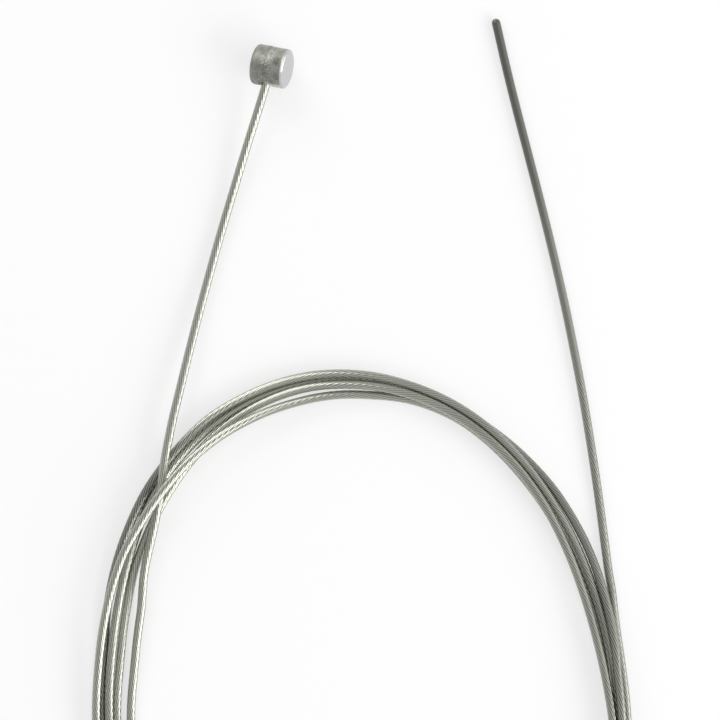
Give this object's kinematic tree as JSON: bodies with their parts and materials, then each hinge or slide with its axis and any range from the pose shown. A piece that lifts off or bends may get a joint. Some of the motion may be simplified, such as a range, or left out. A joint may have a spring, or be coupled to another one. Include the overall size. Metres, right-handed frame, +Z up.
{
  "type": "bicycle brake cable",
  "caption": "Coiled inner cable of twisted steel wires with a cast barrel nipple across one end and a bare rounded tip at the other.",
  "frame": {"origin": "under the middle of the bounding box, on the surface that the cable lies on", "axes": "+Z up from the surface it lies on, +Y from the coil towards the nipple and the tip, +X towards the tip's side"},
  "size_m": [0.093, 0.1828, 0.0081],
  "materials": {
    "strand_steel": "drawn steel wires, bright on their crowns and dark in the lay",
    "nipple_zinc": "dull die-cast zinc, slightly mottled"
  },
  "bodies": {
    "root": {"barrel_nipple": "nipple_zinc", "strand_nipple_end": "strand_steel", "strand_coil": "strand_steel", "strand_free_end": "strand_steel"}
  },
  "joints": []
}
